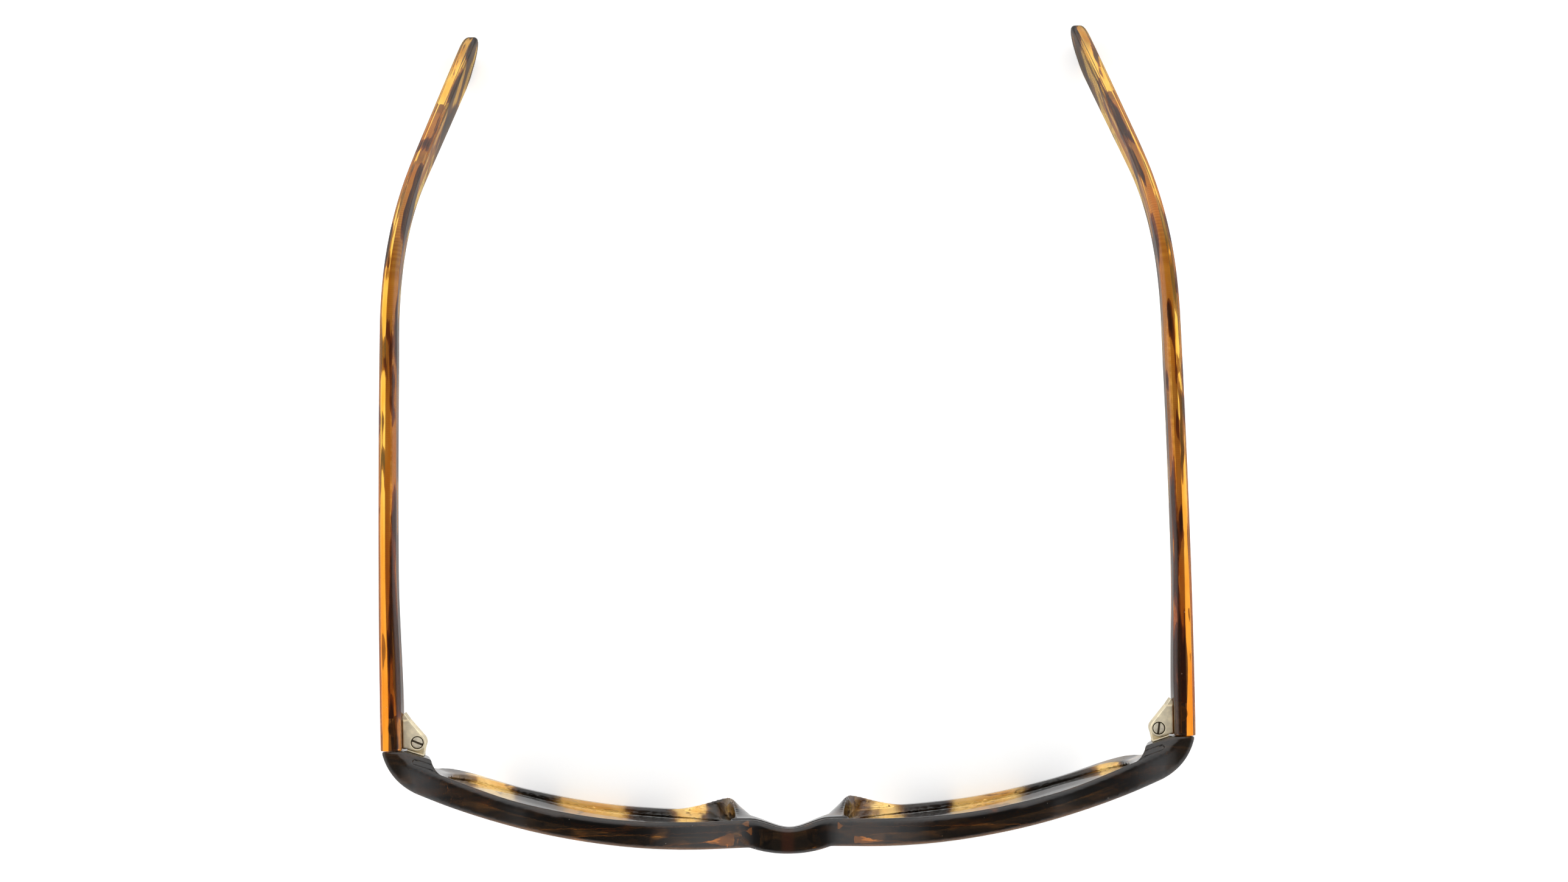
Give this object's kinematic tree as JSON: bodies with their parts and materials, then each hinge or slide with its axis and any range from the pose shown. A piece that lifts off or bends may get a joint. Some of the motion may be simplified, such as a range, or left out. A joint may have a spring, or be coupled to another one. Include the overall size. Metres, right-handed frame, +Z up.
{
  "type": "eyeglasses frame",
  "caption": "Full-rim tortoiseshell acetate eyeglasses with saddle bridge, clear demonstration lenses and two temples that fold inward on barrel hinges.",
  "frame": {"origin": "on the table, in the middle of the plan box of the open glasses", "axes": "+Z up, +Y back along the temples, +X to the wearer's left"},
  "size_m": [0.14, 0.1432, 0.0421],
  "materials": {
    "acetate_front": "polished dark tortoiseshell acetate, near black with amber flecks",
    "acetate_pads": "polished amber and brown acetate",
    "acetate_temple": "polished see-through amber acetate with long dark brown patches",
    "demo_lens": "clear polished acrylic",
    "core_wire": "fine knurled flat wire",
    "hinge_metal": "satin nickel silver",
    "screw_metal": "turned and plated steel"
  },
  "bodies": {
    "front": {"front_frame": "acetate_front", "nose_pad_right": "acetate_pads", "nose_pad_left": "acetate_pads", "lens_right": "demo_lens", "lens_left": "demo_lens", "front_hinge_right": "hinge_metal", "front_hinge_left": "hinge_metal"},
    "temple_arm_right": {"temple_right": "acetate_temple", "wire_core_right": "core_wire", "temple_hinge_right": "hinge_metal", "hinge_screw_right": "screw_metal"},
    "temple_arm_left": {"temple_left": "acetate_temple", "wire_core_left": "core_wire", "temple_hinge_left": "hinge_metal", "hinge_screw_left": "screw_metal"}
  },
  "joints": [
    {"name": "fold_right", "type": "hinge", "parent": "front", "child": "temple_arm_right", "pos_m": [-0.0638, -0.05127, 0.031], "axis": [0, 0, -1], "range_deg": [0, 82]},
    {"name": "fold_left", "type": "hinge", "parent": "front", "child": "temple_arm_left", "pos_m": [0.0638, -0.05127, 0.031], "axis": [0, 0, 1], "range_deg": [0, 87]}
  ]
}
